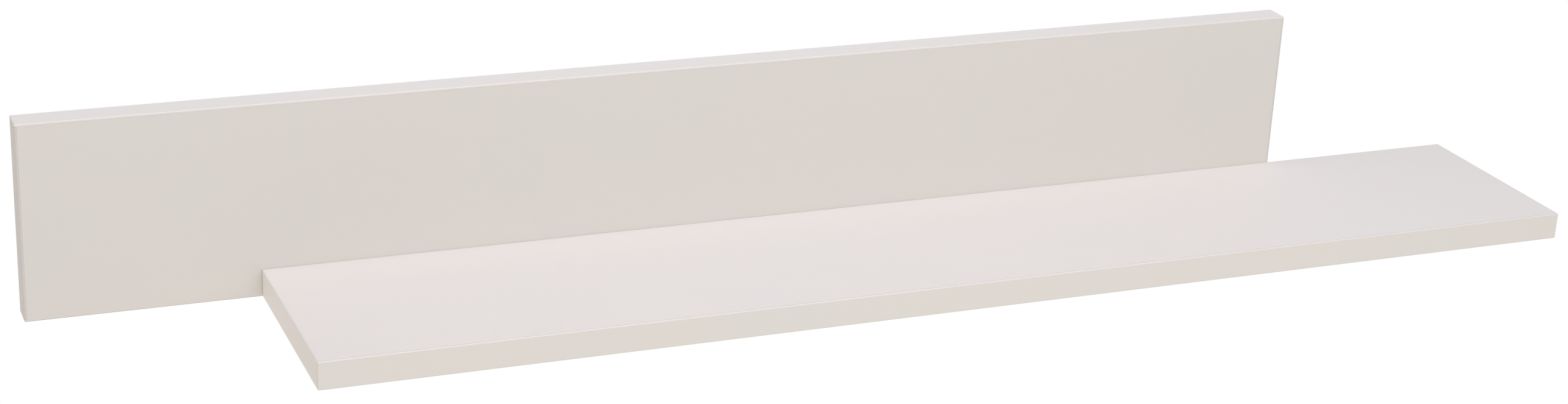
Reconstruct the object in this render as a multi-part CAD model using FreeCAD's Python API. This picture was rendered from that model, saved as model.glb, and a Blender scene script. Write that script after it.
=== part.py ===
import FreeCAD, Part
import math
import os

# Floating wall shelf: a back panel and a shelf board cut from the same stock, the shelf shifted to the right.
# Lengths are in millimetres. X runs along the boards, Y points to the wall and Z is up.
# The origin is the centre of the panel's rear face, which lies on the wall.

# the two boards
board_length = 1200.0
board_thickness = 25.0
panel_height = 175.0
shelf_depth = 200.0
shelf_offset = 200.0  # from the panel's left end to the shelf's left end

# what each board is made of
facing_thickness = 0.8
edging_thickness = 2.0
arris_radius = 1.0

# assembly screws, from behind through the panel into the shelf's rear edge
screw_length = 70.0
screw_shank_radius = 3.5
screw_head_overhang = 1.5  # the head's edge beyond the shank, all round
screw_head_sink = 0.4  # the head's top below the panel's rear face
screw_end_room = 3.0  # of the hole beyond the screw
screw_clearance = 0.1  # around the shank
socket_width = 4.0  # across the flats of the hexagon socket
socket_depth = 2.5
screw_shares = (0.05, 0.35, 0.65, 0.95)  # places along the joint

# dowels between the assembly screws
dowel_radius = 4.0
dowel_length = 35.0
dowel_in_panel = 13.0
dowel_chamfer = 1.0
dowel_clearance = 0.1
dowel_end_room = 1.0  # for glue, at each end
dowel_shares = (0.2, 0.8)  # places along the joint

# keyhole hanger plates, let into the panel's rear
hanger_inset = 150.0  # from the panel's end to the plate's middle
hanger_drop = 48.0  # from the panel's top to the plate's middle
plate_width = 20.0
plate_thickness = 2.0
plate_sink = 0.3  # the plate below the panel's rear face
plate_clearance = 0.2  # around the plate in its recess
entry_radius = 5.0  # takes the head of a wall screw
slot_width = 5.4  # takes its shank
slot_run = 12.0  # from the entry's centre up to the slot's end
pocket_margin = 1.5  # the pocket behind the plate beyond the entry, all round
pocket_depth = 7.7  # behind the plate

# screws that hold the hanger plates
fixing_gap = 10.0  # from the end of the keyhole's run to the screw's axis
fixing_end = 8.0  # from the screw's axis to the plate's end
fixing_length = 16.0
fixing_shank_radius = 1.5
fixing_head_overhang = 1.8
fixing_head_sink = 0.1  # below the plate's outer face
fixing_end_room = 1.0
fixing_clearance = 0.1

overrun = 5.0  # how far a cutter runs past the face that it starts from

panel_left = -board_length / 2
panel_bottom = -panel_height / 2
shelf_left = panel_left + shelf_offset
joint_length = board_length - shelf_offset
joint_height = panel_bottom + board_thickness / 2  # the middle of the shelf's rear edge
hanger_height = panel_height / 2 - hanger_drop
hanger_reach = board_length / 2 - hanger_inset
plate_floor = plate_sink + plate_thickness  # depths are from the wall, towards the front
entry_height = -slot_run / 2  # heights on a plate are from its middle
fixing_height = slot_run / 2 + entry_radius + fixing_gap
fixing_start = plate_sink + fixing_head_sink
plate_end_height = fixing_height + fixing_end - plate_width / 2


def vector(x, y, z):
    return FreeCAD.Vector(x, y, z)


def turned(profile):
    # a body of revolution about Y; each point is a radius and a depth from the wall
    points = [vector(radius, -depth, 0) for radius, depth in profile]
    outline = Part.Face(Part.makePolygon(points + points[:1]))
    return outline.revolve(vector(0, 0, 0), vector(0, 1, 0), 360)


def upright_slot(radius, low, high, start, end):
    # half circles about two heights, joined by straight sides, from one depth to a greater one
    def at(x, z):
        return vector(x, -start, z)

    sides = [
        Part.LineSegment(at(radius, low), at(radius, high)),
        Part.Arc(at(radius, high), at(0, high + radius), at(-radius, high)),
        Part.LineSegment(at(-radius, high), at(-radius, low)),
        Part.Arc(at(-radius, low), at(0, low - radius), at(radius, low)),
    ]
    outline = Part.Face(Part.Wire([side.toShape() for side in sides]))
    return outline.extrude(vector(0, start - end, 0))


def countersunk_screw(start, length, shank, overhang):
    return turned([
        (0, start),
        (shank + overhang, start),
        (shank, start + overhang),
        (shank, start + length),
        (0, start + length),
    ])


def countersunk_bore(start, length, shank, overhang, clearance):
    # the head's cone carried on outwards, then clear around the shank
    return turned([
        (0, start - overrun),
        (shank + overhang + overrun, start - overrun),
        (shank + clearance, start + overhang - clearance),
        (shank + clearance, start + length),
        (0, start + length),
    ])


def copies(shape, places):
    return [shape.translated(place) for place in places]


def face_edges(board):
    # the edges around a flat board's two faces, without the short upright ones at its corners
    box = board.BoundBox
    return [edge for edge in board.Edges if edge.BoundBox.ZLength < box.ZLength / 2]


def board_pieces(width):
    # lying flat: length along X, width along Y, thickness along Z
    whole = Part.makeBox(board_length, width, board_thickness)
    rounded = whole.makeFillet(min(arris_radius, edging_thickness), face_edges(whole))
    inner_length = board_length - 2 * edging_thickness
    inner_width = width - 2 * edging_thickness

    def sheet(thickness, height):
        corner = vector(edging_thickness, edging_thickness, height)
        return Part.makeBox(inner_length, inner_width, thickness, corner)

    def long_strip(y):
        strip = Part.makeBox(board_length, edging_thickness, board_thickness, vector(0, y, 0))
        return rounded.common(strip)

    def short_strip(x):
        corner = vector(x, edging_thickness, 0)
        strip = Part.makeBox(edging_thickness, inner_width, board_thickness, corner)
        return rounded.common(strip)

    return {
        "core": sheet(board_thickness - 2 * facing_thickness, facing_thickness),
        "low_facing": sheet(facing_thickness, 0),
        "high_facing": sheet(facing_thickness, board_thickness - facing_thickness),
        "near_edging": long_strip(0),
        "far_edging": long_strip(width - edging_thickness),
        "left_edging": short_strip(0),
        "right_edging": short_strip(board_length - edging_thickness),
    }


def panel_pieces():
    # stood on edge: the low facing turns to the wall and the near edging goes down
    upright = FreeCAD.Placement(vector(panel_left, 0, panel_bottom), vector(1, 0, 0), 90)
    names = {
        "core": "panel_core",
        "low_facing": "panel_rear_facing",
        "high_facing": "panel_front_facing",
        "near_edging": "panel_bottom_edging",
        "far_edging": "panel_top_edging",
        "left_edging": "panel_left_edging",
        "right_edging": "panel_right_edging",
    }
    pieces = board_pieces(panel_height)
    return {names[key]: piece.transformed(upright.toMatrix()) for key, piece in pieces.items()}


def shelf_pieces():
    # the rear edge on the panel's front, the underside level with the panel's bottom
    place = vector(shelf_left, -board_thickness - shelf_depth, panel_bottom)
    names = {
        "core": "shelf_core",
        "low_facing": "shelf_underside_facing",
        "high_facing": "shelf_top_facing",
        "near_edging": "shelf_front_edging",
        "far_edging": "shelf_rear_edging",
        "left_edging": "shelf_left_edging",
        "right_edging": "shelf_right_edging",
    }
    return {names[key]: piece.translated(place) for key, piece in board_pieces(shelf_depth).items()}


def joint_places(shares):
    return [vector(shelf_left + joint_length * share, 0, joint_height) for share in shares]


def hanger_places():
    return [vector(side * hanger_reach, 0, hanger_height) for side in (-1, 1)]


def fixing_places():
    # above and below each keyhole
    heights = [vector(0, 0, side * fixing_height) for side in (-1, 1)]
    return [middle + height for middle in hanger_places() for height in heights]


def hexagon_socket():
    radius = socket_width / math.sqrt(3)
    corners = []
    for corner in range(6):
        angle = corner * math.pi / 3
        corners.append(vector(radius * math.cos(angle), overrun, radius * math.sin(angle)))
    outline = Part.Face(Part.makePolygon(corners + corners[:1]))
    return outline.extrude(vector(0, -overrun - screw_head_sink - socket_depth, 0))


def assembly_screw():
    body = countersunk_screw(screw_head_sink, screw_length, screw_shank_radius, screw_head_overhang)
    return body.cut(hexagon_socket())


def assembly_bore():
    length = screw_length + screw_end_room
    return countersunk_bore(
        screw_head_sink, length, screw_shank_radius, screw_head_overhang, screw_clearance
    )


def dowel():
    start = board_thickness - dowel_in_panel
    end = start + dowel_length
    return turned([
        (0, start),
        (dowel_radius - dowel_chamfer, start),
        (dowel_radius, start + dowel_chamfer),
        (dowel_radius, end - dowel_chamfer),
        (dowel_radius - dowel_chamfer, end),
        (0, end),
    ])


def dowel_bore():
    radius = dowel_radius + dowel_clearance
    start = board_thickness - dowel_in_panel - dowel_end_room
    end = board_thickness - dowel_in_panel + dowel_length + dowel_end_room
    return turned([(0, start), (radius, start), (radius, end), (0, end)])


def hanger_plate():
    # rounded ends, a keyhole with its entry low, and a countersunk hole at each end
    through = plate_floor + overrun
    plate = upright_slot(plate_width / 2, -plate_end_height, plate_end_height, plate_sink, plate_floor)
    entry = turned([(0, -overrun), (entry_radius, -overrun), (entry_radius, through), (0, through)])
    entry = entry.translated(vector(0, 0, entry_height))
    slot = upright_slot(slot_width / 2, entry_height, -entry_height, -overrun, through)
    fixings = copies(fixing_bore(), [vector(0, 0, side * fixing_height) for side in (-1, 1)])
    return plate.cut([entry, slot] + fixings)


def hanger_pocket():
    # a shallow recess for the plate and a deeper run behind the keyhole for the wall screw's head
    recess_radius = plate_width / 2 + plate_clearance
    recess = upright_slot(recess_radius, -plate_end_height, plate_end_height, -overrun, plate_floor)
    run_radius = entry_radius + pocket_margin
    run_floor = plate_floor + pocket_depth
    run = upright_slot(run_radius, entry_height, -entry_height, -overrun, run_floor)
    return recess.fuse(run)


def hanger_fixing():
    return countersunk_screw(fixing_start, fixing_length, fixing_shank_radius, fixing_head_overhang)


def fixing_bore():
    length = fixing_length + fixing_end_room
    return countersunk_bore(
        fixing_start, length, fixing_shank_radius, fixing_head_overhang, fixing_clearance
    )


def drilled(pieces):
    screw_bores = copies(assembly_bore(), joint_places(screw_shares))
    dowel_bores = copies(dowel_bore(), joint_places(dowel_shares))
    pockets = copies(hanger_pocket(), hanger_places())
    cuts = {
        "panel_rear_facing": screw_bores + pockets,
        "panel_core": screw_bores + dowel_bores + pockets + copies(fixing_bore(), fixing_places()),
        "panel_front_facing": screw_bores + dowel_bores,
        "shelf_rear_edging": screw_bores + dowel_bores,
        "shelf_core": screw_bores + dowel_bores,
    }
    for name, cutters in cuts.items():
        pieces[name] = pieces[name].cut(cutters)
    return pieces


def hardware():
    left, right = copies(hanger_plate(), hanger_places())
    return {
        "beech_dowels": Part.makeCompound(copies(dowel(), joint_places(dowel_shares))),
        "assembly_screws": Part.makeCompound(copies(assembly_screw(), joint_places(screw_shares))),
        "left_hanger_plate": left,
        "right_hanger_plate": right,
        "hanger_screws": Part.makeCompound(copies(hanger_fixing(), fixing_places())),
    }


pieces = drilled({**panel_pieces(), **shelf_pieces()}) | hardware()
os.makedirs("parts", exist_ok=True)
for name, shape in pieces.items():
    shape.exportStep(f"parts/{name}.step")
    print(name, len(shape.Solids), round(shape.Volume), shape.isValid())
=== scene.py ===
import bmesh
import bpy
import math
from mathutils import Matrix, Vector


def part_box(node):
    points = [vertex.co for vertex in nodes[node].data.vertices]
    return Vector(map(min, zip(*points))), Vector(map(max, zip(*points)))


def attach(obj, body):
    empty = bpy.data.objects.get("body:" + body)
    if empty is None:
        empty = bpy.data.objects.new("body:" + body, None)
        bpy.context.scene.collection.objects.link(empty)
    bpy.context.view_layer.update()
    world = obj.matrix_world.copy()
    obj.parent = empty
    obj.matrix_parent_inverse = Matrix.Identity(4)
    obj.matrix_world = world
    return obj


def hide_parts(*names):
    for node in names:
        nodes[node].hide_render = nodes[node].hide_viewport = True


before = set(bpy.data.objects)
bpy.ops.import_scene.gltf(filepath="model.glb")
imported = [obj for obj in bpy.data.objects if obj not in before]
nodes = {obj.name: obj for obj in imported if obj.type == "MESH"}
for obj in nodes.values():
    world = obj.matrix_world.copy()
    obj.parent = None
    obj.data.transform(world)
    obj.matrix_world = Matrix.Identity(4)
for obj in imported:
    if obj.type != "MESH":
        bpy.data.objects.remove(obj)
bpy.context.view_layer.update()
scene = bpy.context.scene
print("frame:", len(nodes), "nodes")


# an expression on sockets adds its Math nodes
class Socket:
    def __init__(self, paint, out):
        self.paint = paint
        self.out = out

    def math(self, operation, first, second):
        return self.paint.node("ShaderNodeMath", {"operation": operation}, {0: first, 1: second})

    def __add__(self, other):
        return self.math("ADD", self, other)

    def __radd__(self, other):
        return self.math("ADD", other, self)

    def __sub__(self, other):
        return self.math("SUBTRACT", self, other)

    def __rsub__(self, other):
        return self.math("SUBTRACT", other, self)

    def __mul__(self, other):
        return self.math("MULTIPLY", self, other)

    def __rmul__(self, other):
        return self.math("MULTIPLY", other, self)

    def __pow__(self, other):
        return self.math("POWER", self, other)

    def __rpow__(self, other):
        return self.math("POWER", other, self)

    def __abs__(self):
        return self.math("ABSOLUTE", self, 0)

    def atLeast(self, other):
        return self.math("MAXIMUM", self, other)


# the nodes of one material, or of the room's light
class Paint:
    def __init__(self, owner):
        owner.use_nodes = True
        self.owner = owner
        self.tree = owner.node_tree
        self.tree.nodes.clear()
        self.place = self.node("ShaderNodeTexCoord", {}, {}, "Object")  # metres, in the part's frame

    def node(self, kind, settings, inputs, output=0):
        made = self.tree.nodes.new(kind)
        for key, value in settings.items():
            if key == "stops":
                self.ramp(made.color_ramp, value)
            else:
                setattr(made, key, value)
        for key, value in inputs.items():
            if isinstance(value, Socket):
                self.tree.links.new(value.out, made.inputs[key])
            else:
                made.inputs[key].default_value = value
        return Socket(self, made.outputs[output]) if made.outputs else None

    def ramp(self, ramp, stops):
        while len(ramp.elements) < len(stops):
            ramp.elements.new(0.5)
        for element, (place, colour) in zip(ramp.elements, stops):
            element.position = place
            element.color = colour

    def stretched(self, factors):
        return self.node("ShaderNodeVectorMath", {"operation": "MULTIPLY"}, {0: self.place, 1: factors})

    def noise(self, scale, detail, roughness, place=None, output=0):
        return self.node("ShaderNodeTexNoise", {}, {
            "Vector": place or self.place, "Scale": scale, "Detail": detail, "Roughness": roughness,
        }, output)

    def cells(self, scale, place=None):
        # one chance value for each cell
        colour = self.node("ShaderNodeTexVoronoi", {}, {
            "Vector": place or self.place, "Scale": scale,
        }, "Color")
        return self.node("ShaderNodeSeparateColor", {}, {0: colour})

    def step(self, value, low, high):
        return self.node("ShaderNodeMapRange", {"interpolation_type": "SMOOTHSTEP"}, {
            "Value": value, "From Min": low, "From Max": high,
        })

    def blend(self, share, first, second, kind="MIX"):
        return self.node("ShaderNodeMix", {"data_type": "RGBA", "blend_type": kind}, {
            0: share, 6: first, 7: second,
        }, 2)

    def parts(self, vector):
        split = self.node("ShaderNodeSeparateXYZ", {}, {0: vector}).out.node
        return [Socket(self, out) for out in split.outputs]

    def normal(self):
        return self.node("ShaderNodeTexCoord", {}, {}, "Normal")

    def normalShares(self):
        return self.parts(self.node("ShaderNodeVectorMath", {"operation": "ABSOLUTE"}, {0: self.normal()}))

    def bump(self, height, distance, strength):
        return self.node("ShaderNodeBump", {}, {"Height": height, "Distance": distance, "Strength": strength})

    def finish(self, inputs):
        shader = self.node("ShaderNodeBsdfPrincipled", {}, inputs)
        self.node("ShaderNodeOutputMaterial", {}, {"Surface": shader})
        return self.owner


def grey(value):
    return (value, value, value, 1)


# in every finish a noise is its scale, detail and roughness, a step is from and to,
# a bump is its height in metres and its strength, and a stretch is for X, Y and Z

# cream satin decor, the tone that sheets and strips share
cream = {
    "cool": (0.701, 0.680, 0.652, 1),
    "warm": (0.709, 0.679, 0.649, 1),
    "cloud": (9, 3.0, 0.55),            # soft drifts of tone, about 110 mm
    "cloudStep": (0.3, 0.7),
}


def creamTone(paint):
    cloud = paint.noise(*cream["cloud"])
    return paint.blend(paint.step(cloud, *cream["cloudStep"]), cream["cool"], cream["warm"])


# hot glue, a fine line where a strip meets the sheets; its dark tone is also painted as shade up the joint
# where the shelf meets the panel
glue = {
    "pale": (0.38, 0.34, 0.28, 1), "dark": (0.28, 0.245, 0.19, 1),
    "smear": (160, 3.0, 0.6), "smearStep": (0.35, 0.65),
    "roughness": 0.55, "smearRoughness": 0.15, "bump": (0.00002, 0.5),
    "hairline": (0.00024, 0.0006),      # distance from the joint over which the line fades
    "hairlineTop": (0.0008, 0.0003),    # it fades out this far below the board's top
    "hairlineShare": 0.3,
}


def glueLine(name):
    paint = Paint(bpy.data.materials.new(name))
    smear = paint.noise(*glue["smear"])
    return paint.finish({
        "Base Color": paint.blend(paint.step(smear, *glue["smearStep"]), glue["pale"], glue["dark"]),
        "Roughness": glue["roughness"] + glue["smearRoughness"] * smear,
        "Normal": paint.bump(smear, *glue["bump"]),
    })


# cream sheets on the boards' faces
sheet = {
    "pearl": (520, 1.0, 0.5),           # the pressed surface, about 2 mm
    "pearlTone": grey(0.45), "pearlShare": 0.035, "pearlBump": (0.00002, 0.5),
    "wipe": (26, 4.0, 0.6), "wipeStretch": (0.35, 1.6, 1.6),
    "roughness": 0.41, "wipeRoughness": 0.10,
    "raw": (0.46, 0.34, 0.22, 1),       # cut edge of a sheet
    "cutStep": (0.1, 0.2), "cutRoughness": 0.35,
}


def creamSheet(name, cutAxis=None, paintedShadeBeside=None):
    paint = Paint(bpy.data.materials.new(name))
    pearl = paint.noise(*sheet["pearl"])
    wipe = paint.noise(*sheet["wipe"], paint.stretched(sheet["wipeStretch"]))
    tone = paint.blend(sheet["pearlShare"] * pearl, creamTone(paint), sheet["pearlTone"])
    rough = sheet["roughness"] + sheet["wipeRoughness"] * wipe
    if cutAxis:
        cut = paint.step(1 - paint.normalShares()["XYZ".index(cutAxis)], *sheet["cutStep"])
        tone = paint.blend(cut, tone, sheet["raw"])
        rough = rough + sheet["cutRoughness"] * cut
    if paintedShadeBeside:
        # painted shade: a dark hairline up the end of the board that is joined on here
        low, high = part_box(paintedShadeBeside)
        across, _, up = paint.parts(paint.place)
        line = 1 - paint.step(abs(across - low.x), *glue["hairline"])
        line = line * (1 - paint.step(up, *[high.z - below for below in glue["hairlineTop"]]))
        tone = paint.blend(glue["hairlineShare"] * line, tone, glue["dark"])
    return paint.finish({
        "Base Color": tone,
        "Roughness": rough,
        "Normal": paint.bump(pearl, *sheet["pearlBump"]),
    })


# cream strips on the boards' edges: extruded, with fine draw lines along their length
extrusion = {
    "shade": {"X": grey(1.04), "Y": grey(1.09), "Z": grey(0.92)},   # painted light and shade: upright faces lighter or darker by the strip's direction
    "paintedLightStep": (0.3, 0.9),
    "paintedArrisShade": {"X": grey(0.955), "Y": grey(0.88), "Z": grey(0.87)},   # painted shade that darkens the rounded edges
    "paintedArrisShadeShare": 0.85, "arrisStep": (0.003, 0.05),
    "scuff": (75, 5.0, 0.65), "scuffStep": (0.56, 0.72), "scuffShare": 0.15,
    "paintedUnderShade": (0.76, 0.73, 0.69, 1),    # painted shade on the panel's lower arrises, where they turn downwards
    "underShadeFrom": (0.0, 0.25), "underShadeTo": (0.8, 0.97),
    "draw": (900, 2.0, 0.5), "drawStretch": 0.01, "drawBump": (0.00001, 0.5),
    "roughness": 0.38, "drawRoughness": 0.05, "arrisRoughness": 0.08, "scuffPolish": 0.06,
}


def creamStrip(name, along, shadedUnder=False):
    paint = Paint(bpy.data.materials.new(name))
    stretch = tuple(extrusion["drawStretch"] if axis == along else 1.0 for axis in "XYZ")
    draw = paint.noise(*extrusion["draw"], paint.stretched(stretch))
    scuff = paint.step(paint.noise(*extrusion["scuff"]), *extrusion["scuffStep"])
    x, y, z = paint.normalShares()
    # 1 where the surface turns from one face of a board to the next
    arris = paint.step(1 - x.atLeast(y).atLeast(z), *extrusion["arrisStep"])
    # painted light and shade on upright faces; a Y strip's faces along Y are its cut ends, which stay as they
    # are
    paintedLightFaces = paint.step(x if along == "Y" else x.atLeast(y), *extrusion["paintedLightStep"])
    tone = paint.blend(paintedLightFaces, creamTone(paint), extrusion["shade"][along], "MULTIPLY")
    # painted shade on the rounded edges, broken up a little by scuffs
    paintedArrisShade = arris * (extrusion["paintedArrisShadeShare"] + extrusion["scuffShare"] * scuff)
    tone = paint.blend(paintedArrisShade, tone, extrusion["paintedArrisShade"][along], "MULTIPLY")
    if shadedUnder:
        # painted shade: darker where the surface turns downwards
        down = 0 - paint.parts(paint.normal())[2]
        turn = paint.step(down, *extrusion["underShadeFrom"]) - paint.step(down, *extrusion["underShadeTo"])
        tone = paint.blend(turn, tone, extrusion["paintedUnderShade"], "MULTIPLY")
    rough = extrusion["roughness"] + extrusion["drawRoughness"] * draw
    rough = rough + extrusion["arrisRoughness"] * arris - extrusion["scuffPolish"] * arris * scuff
    return paint.finish({
        "Base Color": tone,
        "Roughness": rough,
        "Normal": paint.bump(draw, *extrusion["drawBump"]),
    })


# raw particle board, seen in the pockets and bores: flat chips pressed in the board's plane
core = {
    "chips": [
        (0.0, (0.34, 0.22, 0.12, 1)), (0.2, (0.52, 0.38, 0.23, 1)),
        (0.7, (0.66, 0.51, 0.33, 1)), (1.0, (0.78, 0.65, 0.46, 1)),
    ],
    "chipScale": 340, "chipShare": 0.50,
    "dustScale": 1500, "dustShare": 0.25,
    "fibre": (2200, 3.0, 0.6), "fibreStretch": (0.35, 1.0, 1.0), "fibreShare": 0.25,
    "flatten": (1.0, 2.4, 1.0),
    "ragged": (300, 3.0, 0.5), "raggedReach": (0.004, 0.004, 0.004),    # uneven outlines of the chips
    "bark": (0.20, 0.12, 0.07, 1), "barkStep": (0.93, 0.95), "barkShare": 0.8,
    "roughness": 0.86, "fibreRoughness": 0.10, "bump": (0.0003, 0.8),
}


def boardCore(name):
    paint = Paint(bpy.data.materials.new(name))
    bent = paint.node("ShaderNodeVectorMath", {"operation": "MULTIPLY_ADD"}, {
        0: paint.noise(*core["ragged"], output="Color"),
        1: core["raggedReach"],
        2: paint.stretched(core["flatten"]),
    })
    chip = paint.cells(core["chipScale"], bent)
    dust = paint.cells(core["dustScale"], bent)
    fibre = paint.noise(*core["fibre"], paint.stretched(core["fibreStretch"]))
    shade = core["chipShare"] * chip + core["dustShare"] * dust + core["fibreShare"] * fibre
    tone = paint.node("ShaderNodeValToRGB", {"stops": core["chips"]}, {0: shade})
    tone = paint.blend(core["barkShare"] * paint.step(chip, *core["barkStep"]), tone, core["bark"])
    return paint.finish({
        "Base Color": tone,
        "Roughness": core["roughness"] + core["fibreRoughness"] * fibre,
        "Normal": paint.bump(shade, *core["bump"]),
    })


# beech dowels: close grain along Y with short dark flecks
beech = {
    "pale": (0.70, 0.51, 0.34, 1), "dark": (0.52, 0.34, 0.20, 1),
    "grain": (700, 4.0, 0.6), "grainStretch": (1.0, 0.06, 1.0), "grainStep": (0.3, 0.75),
    "fleckTone": (0.36, 0.21, 0.11, 1), "fleckShare": 0.7,
    "fleck": (1900, 2.0, 0.5), "fleckStretch": (1.0, 0.12, 1.0), "fleckStep": (0.62, 0.70),
    "roughness": 0.62, "grainRoughness": 0.15, "fleckDepth": 0.4, "bump": (0.0001, 0.6),
}


def beechWood(name):
    paint = Paint(bpy.data.materials.new(name))
    grain = paint.noise(*beech["grain"], paint.stretched(beech["grainStretch"]))
    fleck = paint.noise(*beech["fleck"], paint.stretched(beech["fleckStretch"]))
    fleck = paint.step(fleck, *beech["fleckStep"])
    tone = paint.blend(paint.step(grain, *beech["grainStep"]), beech["pale"], beech["dark"])
    tone = paint.blend(beech["fleckShare"] * fleck, tone, beech["fleckTone"])
    return paint.finish({
        "Base Color": tone,
        "Roughness": beech["roughness"] + beech["grainRoughness"] * grain,
        "Normal": paint.bump(grain - beech["fleckDepth"] * fleck, *beech["bump"]),
    })


# zinc-plated steel, tumbled bright: hanger plates and screws
zinc = {
    "bright": (0.70, 0.72, 0.75, 1), "dull": (0.56, 0.58, 0.60, 1),
    "crystalScale": 900, "crystalShare": 0.15,
    "haze": (170, 5.0, 0.65), "hazeShare": 0.85, "dullStep": (0.3, 0.75),
    "straw": (0.70, 0.68, 0.60, 1), "stain": (55, 3.0, 0.5), "stainStep": (0.55, 0.8), "stainShare": 0.25,
    "draw": (2600, 2.0, 0.5), "drawStretch": (1.0, 1.0, 0.03), "drawBump": (0.000015, 0.7),
    "roughness": 0.27, "hazeRoughness": 0.16, "drawRoughness": 0.05,
}


def zincSteel(name):
    paint = Paint(bpy.data.materials.new(name))
    haze = paint.noise(*zinc["haze"])
    stain = paint.step(paint.noise(*zinc["stain"]), *zinc["stainStep"])
    draw = paint.noise(*zinc["draw"], paint.stretched(zinc["drawStretch"]))
    dull = zinc["crystalShare"] * paint.cells(zinc["crystalScale"]) + zinc["hazeShare"] * haze
    tone = paint.blend(paint.step(dull, *zinc["dullStep"]), zinc["bright"], zinc["dull"])
    tone = paint.blend(zinc["stainShare"] * stain, tone, zinc["straw"])
    return paint.finish({
        "Base Color": tone,
        "Metallic": 1.0,
        "Roughness": zinc["roughness"] + zinc["hazeRoughness"] * haze + zinc["drawRoughness"] * draw,
        "Normal": paint.bump(draw, *zinc["drawBump"]),
    })


finishes = {
    "sheet": creamSheet("creamSheet"),
    "frontSheet": creamSheet("creamFrontSheet", paintedShadeBeside="shelf_left_edging"),
    "rearSheet": creamSheet("creamRearSheet", cutAxis="Y"),
    "stripX": creamStrip("creamStripAlongX", "X"),
    "stripLow": creamStrip("creamStripLow", "X", shadedUnder=True),
    "stripY": creamStrip("creamStripAlongY", "Y"),
    "stripZ": creamStrip("creamStripAlongZ", "Z"),
    "glue": glueLine("glueLine"),
    "core": boardCore("particleBoard"),
    "beech": beechWood("beechWood"),
    "zinc": zincSteel("zincSteel"),
}
print("finishes:", len(finishes))


# the boards' cores and sheets keep their own shapes
boardFinishes = {
    "panel_core": "core", "shelf_core": "core",
    "panel_front_facing": "frontSheet", "panel_rear_facing": "rearSheet",
    "shelf_top_facing": "sheet", "shelf_underside_facing": "sheet",
}
for node, finish in boardFinishes.items():
    slots = nodes[node].data.materials
    slots.clear()
    slots.append(finishes[finish])
print("boards:", len(boardFinishes), "cores and sheets")


def addPiece(mesh, name, coats, node):
    for coat in coats:
        mesh.materials.append(finishes[coat])
    piece = bpy.data.objects.new(name, mesh)
    scene.collection.objects.link(piece)
    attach(piece, "root")
    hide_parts(node)


def toMesh(body, name):
    bmesh.ops.recalc_face_normals(body, faces=body.faces[:])
    mesh = bpy.data.meshes.new(name)
    body.to_mesh(mesh)
    body.free()
    return mesh


def shadeByAngle(mesh, degrees):
    mesh.polygons.foreach_set("use_smooth", [True] * len(mesh.polygons))
    mesh.set_sharp_from_angle(angle=math.radians(degrees))


# rings, walls and caps: turned and stamped pieces lie along Y, their depth measured from the wall
def ring(body, middle, depth, radius, around):
    # the radius is a number or a function of the share of a turn
    corners = []
    for step in range(around):
        share = step / around
        reach = radius(share) if callable(radius) else radius
        angle = 2 * math.pi * share
        corners.append(body.verts.new((
            middle.x + reach * math.cos(angle), -depth, middle.z + reach * math.sin(angle),
        )))
    return corners


def outlineRing(body, middle, depth, points):
    return [body.verts.new((middle.x + x, -depth, middle.z + z)) for x, z in points]


def wall(body, first, second):
    for here in range(len(first)):
        body.faces.new((first[here - 1], first[here], second[here], second[here - 1]))


def tube(body, rings):
    for first, second in zip(rings, rings[1:]):
        wall(body, first, second)


def cap(body, *loops):
    # fills the first loop, leaving out those inside it
    edges = []
    for loop in loops:
        for here in range(len(loop)):
            pair = (loop[here - 1], loop[here])
            edges.append(body.edges.get(pair) or body.edges.new(pair))
    bmesh.ops.triangle_fill(body, use_beauty=True, edges=edges)


def roundEdges(body, edges, width, steps):
    circular = 0.5
    bmesh.ops.bevel(body, geom=edges, offset=width, segments=steps, profile=circular, affect="EDGES")


# the hidden joint's screws and dowels stand in a row, and its ends come from the nodes' own boxes
joint = {
    "screwShares": (0, 1 / 3, 2 / 3, 1), "screwHead": 0.005, "screwBore": 0.0036,
    "dowelShares": (0, 1), "dowelRadius": 0.004, "dowelBore": 0.0041,
}


def alongJoint(node, radius, shares):
    low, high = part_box(node)
    start, end = low.x + radius, high.x - radius
    return [Vector((start + (end - start) * share, 0, (low.z + high.z) / 2)) for share in shares]


screwPlaces = alongJoint("assembly_screws", joint["screwHead"], joint["screwShares"])
dowelPlaces = alongJoint("beech_dowels", joint["dowelRadius"], joint["dowelShares"])


# edge strips: cut from a board whose outer edges are rounded, with a fine glue line at every joint
strip = {
    "arris": 0.001, "arrisSteps": 6,
    "seam": 0.00005, "openSeams": {"shelf_front_edging": 0.00022, "panel_left_edging": 0.00012},
    "boreSides": 40, "drillOver": 0.01,
    "hair": 1e-6,           # lengths below this count as none
    "agree": 0.94,          # cosine within which the rounded normal suits a face
    "finishes": {
        "panel_top_edging": "stripX", "panel_bottom_edging": "stripLow",
        "panel_left_edging": "stripZ", "panel_right_edging": "stripZ",
        "shelf_front_edging": "stripX", "shelf_rear_edging": "stripX",
        "shelf_left_edging": "stripY", "shelf_right_edging": "stripY",
    },
}


def boardBox(node):
    # the whole board that a strip belongs to
    board = node.split("_")[0] + "_"
    boxes = [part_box(name) for name in strip["finishes"] if name.startswith(board)]
    low = Vector(min(box[0][axis] for box in boxes) for axis in range(3))
    high = Vector(max(box[1][axis] for box in boxes) for axis in range(3))
    return low, high


def roundedBoard(low, high):
    board = bmesh.new()
    bmesh.ops.create_cube(board, size=1)
    for corner in board.verts:
        corner.co = Vector(h if c > 0 else l for c, l, h in zip(corner.co, low, high))
    roundEdges(board, board.edges[:], strip["arris"], strip["arrisSteps"])
    return board


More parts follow.
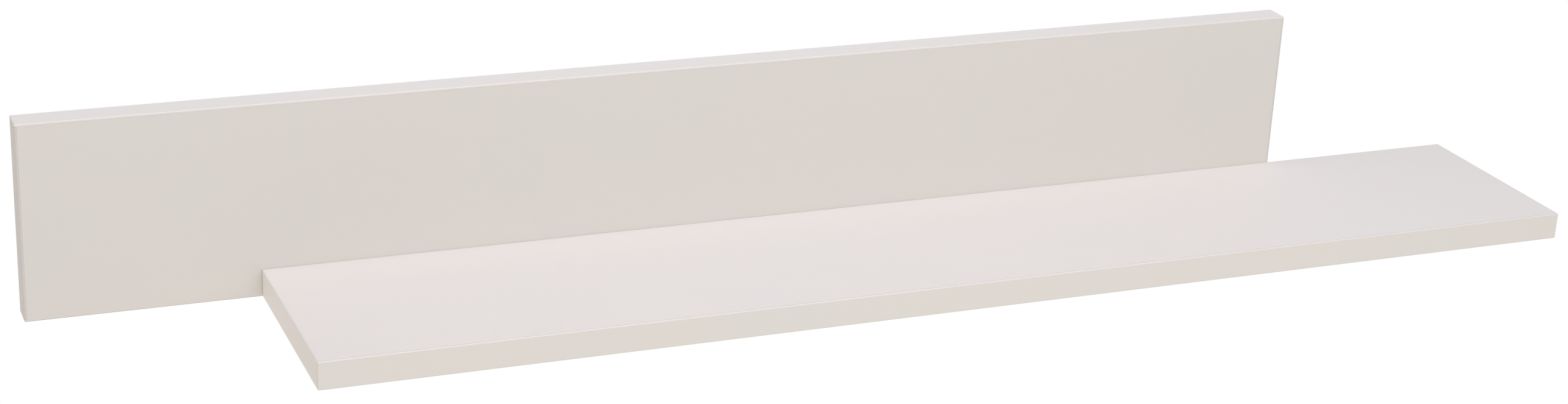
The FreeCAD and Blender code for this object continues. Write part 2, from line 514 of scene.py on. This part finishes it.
def cutOff(board, axis, at, sign):
    # takes off what lies beyond the plane and closes the cut
    outward, place = Vector((0, 0, 0)), Vector((0, 0, 0))
    outward[axis], place[axis] = sign, at
    cut = bmesh.ops.bisect_plane(
        board, geom=board.verts[:] + board.edges[:] + board.faces[:], dist=strip["hair"],
        plane_co=place, plane_no=outward, clear_outer=True,
    )["geom_cut"]
    rim = [item for item in cut if isinstance(item, bmesh.types.BMEdge)]
    bmesh.ops.contextual_create(board, geom=rim)


def bored(mesh, low, high, bores):
    # drills round holes through a strip along Y
    drill = bmesh.new()
    depths = (-high.y - strip["drillOver"], -low.y + strip["drillOver"])
    for place, radius in bores:
        ends = [ring(drill, place, depth, radius, strip["boreSides"]) for depth in depths]
        wall(drill, *ends)
        for end in ends:
            drill.faces.new(end)
    work = bpy.data.objects.new("work", mesh)
    tool = bpy.data.objects.new("tool", toMesh(drill, "tool"))
    for item in (work, tool):
        scene.collection.objects.link(item)
    cut = work.modifiers.new("bores", "BOOLEAN")
    cut.object, cut.operation, cut.solver = tool, "DIFFERENCE", "EXACT"
    made = bpy.data.meshes.new_from_object(work.evaluated_get(bpy.context.evaluated_depsgraph_get()))
    bpy.data.objects.remove(work)
    bpy.data.objects.remove(tool)
    return made


def shadeRound(mesh, low, high):
    # each corner gets the rounded board's own normal where that agrees with the face
    inset = Vector((strip["arris"],) * 3)
    innerLow, innerHigh = low + inset, high - inset
    normals = []
    for face in mesh.polygons:
        for corner in face.vertices:
            place = mesh.vertices[corner].co
            inner = Vector(min(max(c, l), h) for c, l, h in zip(place, innerLow, innerHigh))
            out = place - inner
            out = out.normalized() if out.length > strip["hair"] else face.normal
            normals.append(out if out.dot(face.normal) > strip["agree"] else face.normal.copy())
    mesh.polygons.foreach_set("use_smooth", [True] * len(mesh.polygons))
    mesh.normals_split_custom_set(normals)


def edgeStrip(node, finish, bores=()):
    low, high = boardBox(node)
    stripLow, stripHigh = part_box(node)
    board = roundedBoard(low, high)
    cuts = []
    for axis in range(3):
        for edge, boardEdge, sign in ((stripLow, low, -1), (stripHigh, high, 1)):
            if abs(edge[axis] - boardEdge[axis]) > strip["hair"]:
                cutOff(board, axis, edge[axis], sign)
                cuts.append((axis, edge[axis]))

    def onCut(face):
        return any(
            all(abs(corner.co[axis] - at) < strip["hair"] for corner in face.verts) for axis, at in cuts
        )

    rims = list(dict.fromkeys(edge for face in board.faces if onCut(face) for edge in face.edges))
    width = strip["openSeams"].get(node, strip["seam"])
    seams = bmesh.ops.bevel(board, geom=rims, offset=width, segments=1, affect="EDGES")
    for face in seams["faces"]:
        face.material_index = 1     # glue
    mesh = toMesh(board, node + "_strip")
    if bores:
        mesh = bored(mesh, stripLow, stripHigh, bores)
    shadeRound(mesh, low, high)
    addPiece(mesh, node + "_strip", (finish, "glue"), node)


jointBores = [(place, joint["screwBore"]) for place in screwPlaces]
jointBores += [(place, joint["dowelBore"]) for place in dowelPlaces]
for node, finish in strip["finishes"].items():
    edgeStrip(node, finish, jointBores if node == "shelf_rear_edging" else ())
print("edge strips:", len(strip["finishes"]))


# screws: a countersunk head with a driver's recess, then a shank with a real thread
def hexagon(acrossFlats):
    reach = acrossFlats / math.sqrt(3)
    return [(reach * math.cos(k * math.pi / 3), reach * math.sin(k * math.pi / 3)) for k in range(6)]


def cross(reach, half):
    corners = []
    for quarter in range(4):
        turn = quarter * math.pi / 2
        for x, z in ((reach, -half), (reach, half), (half, half)):
            corners.append((
                x * math.cos(turn) - z * math.sin(turn), x * math.sin(turn) + z * math.cos(turn),
            ))
    return corners


assemblyScrew = {
    "top": 0.0004, "headRadius": 0.005, "rim": 0.0004, "shankRadius": 0.0035, "coreRadius": 0.0025,
    "threadStart": 0.0235, "end": 0.0675, "tip": 0.0704, "tipRadius": 0.0014, "pitch": 0.003,
    "runOut": 0.0001, "ridgeShare": 0.22, "rowsPerTurn": 12, "around": 36, "smoothBelow": 32,
    "recess": hexagon(0.004), "taper": 0.97, "recessDepth": 0.0025,
}
hangerScrew = {
    "top": 0.0004, "headRadius": 0.0033, "rim": 0.0002, "shankRadius": 0.0015, "coreRadius": 0.001,
    "threadStart": 0.0034, "end": 0.0145, "tip": 0.0164, "tipRadius": 0.0002, "pitch": 0.0012,
    "runOut": 0.0001, "ridgeShare": 0.24, "rowsPerTurn": 10, "around": 28, "smoothBelow": 32,
    "recess": cross(0.0019, 0.00045), "taper": 0.55, "recessDepth": 0.0014,
}


def thread(depth, look):
    # the radius around the shank at one depth, where the thread fades in and out over a turn
    pitch = look["pitch"]
    fadeIn = min(1, max(0, (depth - look["threadStart"]) / pitch))
    fadeOut = min(1, max(0, (look["end"] - depth) / pitch))
    fade = fadeIn * fadeOut

    def radius(share):
        ridge = 1 - abs(((depth / pitch - share) % 1) - 0.5) / look["ridgeShare"]
        return look["coreRadius"] + (look["shankRadius"] - look["coreRadius"]) * fade * max(0, ridge)

    return radius


def screwBody(body, middle, look):
    around, top, start = look["around"], look["top"], look["threadStart"]
    head, shank, rim = look["headRadius"], look["shankRadius"], look["rim"]
    rings = [
        ring(body, middle, top, head - rim, around),
        ring(body, middle, top + rim / 2, head - rim / 2, around),
        ring(body, middle, top + head - shank, shank, around),
        ring(body, middle, start - look["runOut"], shank, around),
    ]
    run = look["end"] - start
    count = int(run / look["pitch"] * look["rowsPerTurn"])
    for row in range(count + 1):
        depth = start + run * row / count
        rings.append(ring(body, middle, depth, thread(depth, look), around))
    rings.append(ring(body, middle, look["tip"], look["tipRadius"], around))
    tube(body, rings)
    body.faces.new(rings[-1])
    taper = [(x * look["taper"], z * look["taper"]) for x, z in look["recess"]]
    mouth = outlineRing(body, middle, top, look["recess"])
    bottom = outlineRing(body, middle, top + look["recessDepth"], taper)
    wall(body, mouth, bottom)
    cap(body, rings[0], mouth)
    cap(body, bottom)


def screws(node, places, look):
    body = bmesh.new()
    for place in places:
        screwBody(body, place, look)
    mesh = toMesh(body, node + "_threaded")
    shadeByAngle(mesh, look["smoothBelow"])
    addPiece(mesh, node + "_threaded", ("zinc",), node)


screws("assembly_screws", screwPlaces, assemblyScrew)

# keyhole plates: stamped outline with rounded edges, keyhole and two countersunk holes
plate = {
    "nodes": ("left_hanger_plate", "right_hanger_plate"),
    "entryRadius": 0.005, "slotHalf": 0.0027, "slotRun": 0.012, "fixingReach": 0.021,
    "sinkRadius": 0.0035, "holeRadius": 0.0016, "edge": 0.0003, "edgeSteps": 3,
    "arcSteps": 20, "around": 40, "smoothBelow": 40,
}


def arc(z, radius, start, end):
    steps = plate["arcSteps"]
    angles = [math.radians(start + (end - start) * step / steps) for step in range(steps + 1)]
    return [(radius * math.cos(angle), z + radius * math.sin(angle)) for angle in angles]


def plateOutline(width, height):
    radius = width / 2
    reach = height / 2 - radius
    return arc(reach, radius, 0, 180) + arc(-reach, radius, 180, 360)


def keyhole():
    half, run, entry = plate["slotHalf"], plate["slotRun"] / 2, plate["entryRadius"]
    meet = math.degrees(math.acos(half / entry))
    return arc(run, half, 0, 180) + arc(-run, entry, 180 - meet, 360 + meet)


def fixingPlaces(node):
    low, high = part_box(node)
    middle = (low + high) / 2
    return [middle + Vector((0, 0, side * plate["fixingReach"])) for side in (-1, 1)]


def hangerPlate(node):
    low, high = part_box(node)
    middle = (low + high) / 2
    body = bmesh.new()
    outer, inner = [], []
    for points in (plateOutline(high.x - low.x, high.z - low.z), keyhole()):
        outer.append(outlineRing(body, middle, -high.y, points))
        inner.append(outlineRing(body, middle, -low.y, points))
        wall(body, outer[-1], inner[-1])
    stamped = [
        body.edges.get((loop[here - 1], loop[here]))
        for loop in outer + inner for here in range(len(loop))
    ]
    for place in fixingPlaces(node):
        outer.append(ring(body, place, -high.y, plate["sinkRadius"], plate["around"]))
        inner.append(ring(body, place, -low.y, plate["holeRadius"], plate["around"]))
        wall(body, outer[-1], inner[-1])
    cap(body, *outer)
    cap(body, *inner)
    bmesh.ops.recalc_face_normals(body, faces=body.faces[:])    # the rounding needs them
    roundEdges(body, stamped, plate["edge"], plate["edgeSteps"])
    mesh = toMesh(body, node + "_stamped")
    shadeByAngle(mesh, plate["smoothBelow"])
    addPiece(mesh, node + "_stamped", ("zinc",), node)


for node in plate["nodes"]:
    hangerPlate(node)
screws("hanger_screws", [place for node in plate["nodes"] for place in fixingPlaces(node)], hangerScrew)

# fluted dowels, hidden in the joint
dowel = {"flutes": 16, "fluteDepth": 0.0003, "chamfer": 0.001, "around": 96, "smoothBelow": 30}


def dowels(node, places):
    low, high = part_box(node)
    start, end, radius, ease = -high.y, -low.y, joint["dowelRadius"], dowel["chamfer"]

    def fluted(share):
        return radius - dowel["fluteDepth"] * max(0, math.cos(2 * math.pi * dowel["flutes"] * share)) ** 2

    profile = ((start, radius - ease), (start + ease, fluted), (end - ease, fluted), (end, radius - ease))
    body = bmesh.new()
    for place in places:
        rings = [ring(body, place, depth, reach, dowel["around"]) for depth, reach in profile]
        tube(body, rings)
        body.faces.new(rings[0])
        body.faces.new(rings[-1])
    mesh = toMesh(body, node + "_fluted")
    shadeByAngle(mesh, dowel["smoothBelow"])
    addPiece(mesh, node + "_fluted", ("beech",), node)


dowels("beech_dowels", dowelPlaces)
print("hardware:", len(screwPlaces), "screws,", len(plate["nodes"]), "hangers,", len(dowelPlaces), "dowels")

# camera at the photograph's angle
camera = {
    "place": (-0.8750, -2.2495, 0.8876), "turn": (68.794, -2.644, -22.277),
    "lens": 64.957, "sensor": 36, "clipEnd": 200,
}
viewer = bpy.data.objects.new("camera", bpy.data.cameras.new("camera"))
viewer.data.lens = camera["lens"]
viewer.data.sensor_width = camera["sensor"]
viewer.data.clip_end = camera["clipEnd"]
viewer.location = camera["place"]
viewer.rotation_euler = [math.radians(angle) for angle in camera["turn"]]
scene.collection.objects.link(viewer)
scene.camera = viewer

# pale floor well below the shelf, which hangs on a wall; clear from below, so the underside can be seen
floor = {
    "level": -1.3, "reach": 60, "tone": grey(0.55),
    "glow": (1.0, 0.928, 0.853, 1), "glowStrength": 0.442, "seen": grey(1.0),
}
ground = bmesh.new()
bmesh.ops.create_grid(ground, x_segments=1, y_segments=1, size=floor["reach"])
groundPiece = bpy.data.objects.new("floor", toMesh(ground, "floor"))
groundPiece.location.z = floor["level"]
scene.collection.objects.link(groundPiece)
floorPaint = Paint(bpy.data.materials.new("paleFloor"))
matt = floorPaint.node("ShaderNodeBsdfPrincipled", {}, {
    "Base Color": floor["tone"], "Roughness": 1.0, "Specular IOR Level": 0.0,
    "Emission Color": floor["glow"], "Emission Strength": floor["glowStrength"],
})
bright = floorPaint.node("ShaderNodeEmission", {}, {"Color": floor["seen"]})
direct = floorPaint.node("ShaderNodeLightPath", {}, {}, "Is Camera Ray")
surface = floorPaint.node("ShaderNodeMixShader", {}, {0: direct, 1: matt, 2: bright})
clear = floorPaint.node("ShaderNodeBsdfTransparent", {}, {})
fromBelow = floorPaint.node("ShaderNodeNewGeometry", {}, {}, "Backfacing")
surface = floorPaint.node("ShaderNodeMixShader", {}, {0: fromBelow, 1: surface, 2: clear})
floorPaint.node("ShaderNodeOutputMaterial", {}, {"Surface": surface})
groundPiece.data.materials.append(floorPaint.owner)

# soft studio light: broad glows around the room and two softboxes
studio = {
    "glows": {
        "foreLeft": {"towards": (-0.8, -0.6, 0.1), "sharpness": 3, "light": (1.743, 1.624, 1.494, 1)},
        "right": {"towards": (1, 0, 0), "sharpness": 2, "light": (0.855, 0.930, 1.004, 1)},
        "rear": {"towards": (0, 1, 0.3), "sharpness": 2, "light": (0.600, 0.600, 0.600, 1)},
        "above": {"towards": (0, 0, 1), "sharpness": 2, "light": (0.121, 0.132, 0.143, 1)},
    },
    "boxes": {
        "overhead": {
            "place": (0.0, -0.5, 2.6), "size": (3.0, 1.0), "power": 52.8, "tone": (0.964, 0.926, 1.0),
        },
        "front": {
            "place": (0.1, -2.4, 0.6), "size": (1.6, 1.0), "power": 12.6, "tone": (0.984, 1.0, 0.968),
        },
    },
    "aim": (0.1, -0.1, 0),
    "seen": grey(1.0),
}
surround = Paint(bpy.data.worlds.new("studio"))
bearing = surround.node("ShaderNodeTexCoord", {}, {}, "Generated")
light = grey(0.0)
for look in studio["glows"].values():
    towards = Vector(look["towards"]).normalized()
    facing = surround.node("ShaderNodeVectorMath", {"operation": "DOT_PRODUCT"}, {
        0: bearing, 1: towards,
    }, "Value")
    light = surround.blend(facing.atLeast(0) ** look["sharpness"], light, look["light"], "ADD")
direct = surround.node("ShaderNodeLightPath", {}, {}, "Is Camera Ray")
backdrop = surround.node("ShaderNodeBackground", {}, {"Color": surround.blend(direct, light, studio["seen"])})
surround.node("ShaderNodeOutputWorld", {}, {"Surface": backdrop})
scene.world = surround.owner
for name, look in studio["boxes"].items():
    lamp = bpy.data.lights.new(name, "AREA")
    lamp.shape = "RECTANGLE"
    lamp.size, lamp.size_y = look["size"]
    lamp.energy = look["power"]
    lamp.color = look["tone"]
    softbox = bpy.data.objects.new(name, lamp)
    aim = Vector(studio["aim"]) - Vector(look["place"])
    softbox.location = look["place"]
    softbox.rotation_euler = aim.to_track_quat("-Z", "Y").to_euler()
    softbox.visible_camera = False
    scene.collection.objects.link(softbox)
scene.view_settings.view_transform = "Standard"
print("stage: floor, camera and", len(studio["boxes"]), "softboxes")
